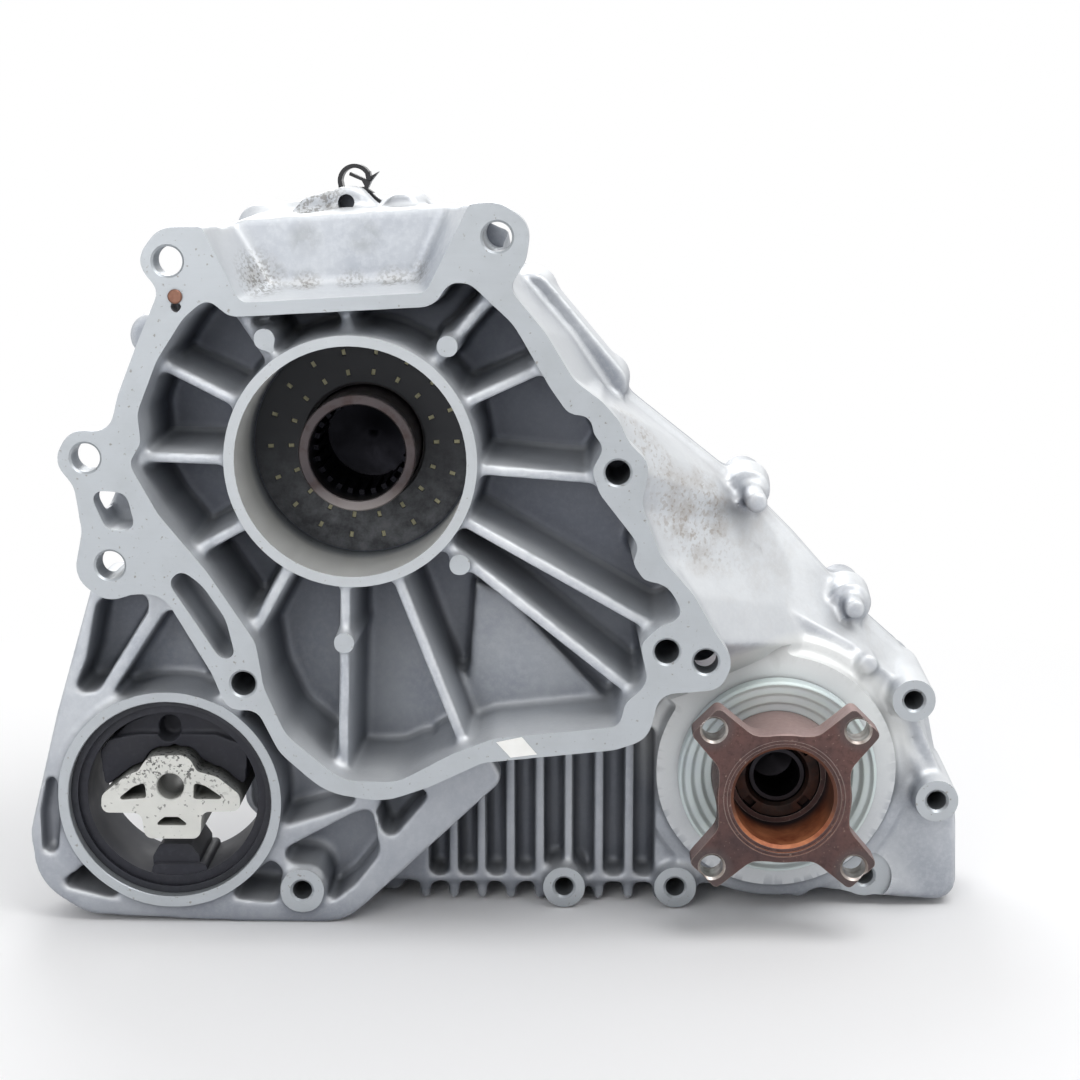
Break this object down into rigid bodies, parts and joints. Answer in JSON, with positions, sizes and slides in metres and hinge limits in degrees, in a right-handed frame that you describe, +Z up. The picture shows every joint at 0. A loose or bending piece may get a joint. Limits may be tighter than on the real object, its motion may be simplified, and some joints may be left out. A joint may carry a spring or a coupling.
{
  "type": "transfer case",
  "caption": "Cast aluminium transfer case: open bell flange, ringed pilot bore, offset four-arm front output flange, finned sump and rubber mount.",
  "frame": {"origin": "centre of the pilot bore, in the machined face that bolts to the gearbox", "axes": "-Y along the main shaft towards the gearbox, +X towards the side of the front output, +Z up"},
  "size_m": [0.4289, 0.2402, 0.3405],
  "materials": {
    "cast_front": "as-cast, machined faces",
    "cast_rear": "as-cast",
    "zinc_bolt": "zinc plated",
    "copper_pin": "copper-brown, oxidised",
    "black_plate": "blackened",
    "seal_rubber": "matte",
    "black_sleeve": "e-coated",
    "mount_rubber": "matte",
    "core_aluminium": "extruded, spotted",
    "black_plastic": "moulded",
    "shaft_steel": "ground",
    "bearing_steel": "ground and polished",
    "drum_steel": "pressed",
    "friction_lining": "paper friction lining on steel",
    "rear_flange_steel": "forged, light rust",
    "rusty_flange": "forged, rusted",
    "dark_nut": "black oxide",
    "zinc_shield": "pale zinc, iridescent",
    "chain_steel": "blued",
    "motor_can": "drawn, nickel plated",
    "gear_plastic": "moulded nylon",
    "brass_pin": "tin plated"
  },
  "bodies": {
    "housing": {"front_housing": "cast_front", "bell_ribs": "cast_front", "mount_bracket": "cast_front", "rear_housing": "cast_rear", "case_bolts": "zinc_bolt", "dowel_pin": "copper_pin", "pilot_baffle": "black_plate", "input_seal": "seal_rubber", "rear_seal": "seal_rubber", "output_seal": "seal_rubber", "mount_sleeve": "black_sleeve", "mount_lining": "mount_rubber", "mount_rubber": "mount_rubber", "hose_clip": "black_plastic", "fill_plug": "zinc_bolt", "drain_plug": "zinc_bolt", "chain_links": "chain_steel", "ramp_ring_fixed": "shaft_steel", "ramp_balls": "bearing_steel", "actuator_housing": "cast_rear", "actuator_bolts": "zinc_bolt", "motor_can": "motor_can", "motor_magnets": "dark_nut", "actuator_connector": "black_plastic", "connector_pins": "brass_pin", "input_bearing_outer": "bearing_steel", "rear_bearing_outer": "bearing_steel", "output_bearing_outer": "bearing_steel", "output_tail_bearing_outer": "bearing_steel"},
    "main_shaft": {"main_shaft": "shaft_steel", "clutch_hub": "shaft_steel", "friction_plates": "friction_lining", "rear_flange": "rear_flange_steel", "rear_flange_nut": "zinc_bolt", "input_bearing_inner": "bearing_steel", "input_bearing_balls": "bearing_steel", "rear_bearing_inner": "bearing_steel", "rear_bearing_balls": "bearing_steel"},
    "clutch_drum": {"clutch_drum": "drum_steel", "upper_sprocket": "shaft_steel", "steel_plates": "bearing_steel", "needle_rollers": "bearing_steel"},
    "pressure_plate": {"pressure_plate": "drum_steel", "thrust_bearing": "bearing_steel"},
    "ramp_ring": {"ramp_ring_turning": "shaft_steel"},
    "actuator_pinion": {"actuator_pinion": "shaft_steel", "reduction_wheel": "gear_plastic"},
    "motor_rotor": {"motor_rotor": "shaft_steel"},
    "front_output": {"front_output_shaft": "shaft_steel", "lower_sprocket": "shaft_steel", "front_flange": "rusty_flange", "front_flange_nut": "dark_nut", "dust_shield": "zinc_shield", "output_bearing_inner": "bearing_steel", "output_bearing_balls": "bearing_steel", "output_tail_bearing_inner": "bearing_steel", "output_tail_bearing_balls": "bearing_steel"},
    "mount_core": {"mount_core": "core_aluminium"}
  },
  "joints": [
    {"name": "main_shaft_spin", "type": "hinge", "parent": "housing", "child": "main_shaft", "pos_m": [0, 0.1, 0], "axis": [0, 1, 0], "continuous": true},
    {"name": "front_output_spin", "type": "hinge", "parent": "housing", "child": "front_output", "pos_m": [0.1867, 0.1, -0.15], "axis": [0, 1, 0], "continuous": true},
    {"name": "clutch_drum_spin", "type": "hinge", "parent": "housing", "child": "clutch_drum", "pos_m": [0, 0.1, 0], "axis": [0, 1, 0], "continuous": true},
    {"name": "pressure_plate_slide", "type": "slide", "parent": "clutch_drum", "child": "pressure_plate", "axis": [0, -1, 0], "range_m": [0, 0.0012]},
    {"name": "ramp_ring_turn", "type": "hinge", "parent": "housing", "child": "ramp_ring", "pos_m": [0, 0.155, 0], "axis": [0, 1, 0], "range_deg": [0, 24]},
    {"name": "actuator_pinion_turn", "type": "hinge", "parent": "housing", "child": "actuator_pinion", "pos_m": [0.0277, 0.17, -0.07612], "axis": [0, 1, 0], "range_deg": [-192, 0]},
    {"name": "motor_rotor_turn", "type": "hinge", "parent": "housing", "child": "motor_rotor", "pos_m": [0.0422, 0.21, -0.10123], "axis": [0, 1, 0], "range_deg": [0, 921.6]},
    {"name": "mount_core_travel", "type": "slide", "parent": "housing", "child": "mount_core", "axis": [0, 0, 1], "range_m": [-0.002, 0.002], "stiffness_N_per_m": 20000, "deforming": ["mount_rubber"]}
  ],
  "couplings": [
    {"joint": "clutch_drum_spin", "follows": "front_output_spin", "ratio": 1},
    {"joint": "pressure_plate_slide", "follows": "ramp_ring_turn", "m_per_rad": 0.0028648},
    {"joint": "actuator_pinion_turn", "follows": "ramp_ring_turn", "ratio": -8},
    {"joint": "motor_rotor_turn", "follows": "ramp_ring_turn", "ratio": 38.4}
  ]
}
